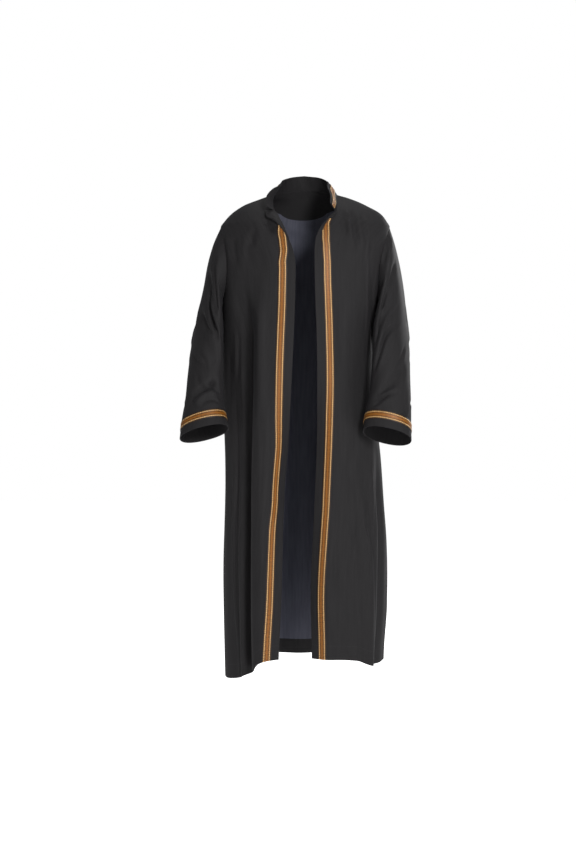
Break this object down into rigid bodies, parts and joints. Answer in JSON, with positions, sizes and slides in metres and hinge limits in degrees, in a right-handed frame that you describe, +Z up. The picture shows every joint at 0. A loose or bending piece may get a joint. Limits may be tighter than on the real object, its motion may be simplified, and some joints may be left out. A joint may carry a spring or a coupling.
{
  "type": "thobe",
  "caption": "Calf-length open-fronted black robe with a stand collar, long wide sleeves and woven gold braid down the fronts, round the cuffs and on the collar, in worn form",
  "frame": {"origin": "between the two points where the shoulder seams meet the collar, where the garment rests on the wearer", "axes": "+Z up, -Y the way the open front faces, +X the wearer's left"},
  "size_m": [0.6313, 0.3392, 1.4116],
  "materials": {
    "cloth": "matte woven crepe",
    "braid": "satin woven braid"
  },
  "bodies": {
    "root": {"front_right": "cloth", "front_left": "cloth", "back": "cloth", "sleeve_right": "cloth", "sleeve_left": "cloth", "collar": "cloth", "braid_front_right": "braid", "braid_front_left": "braid", "braid_cuff_right": "braid", "braid_cuff_left": "braid", "braid_collar": "braid"}
  },
  "joints": []
}
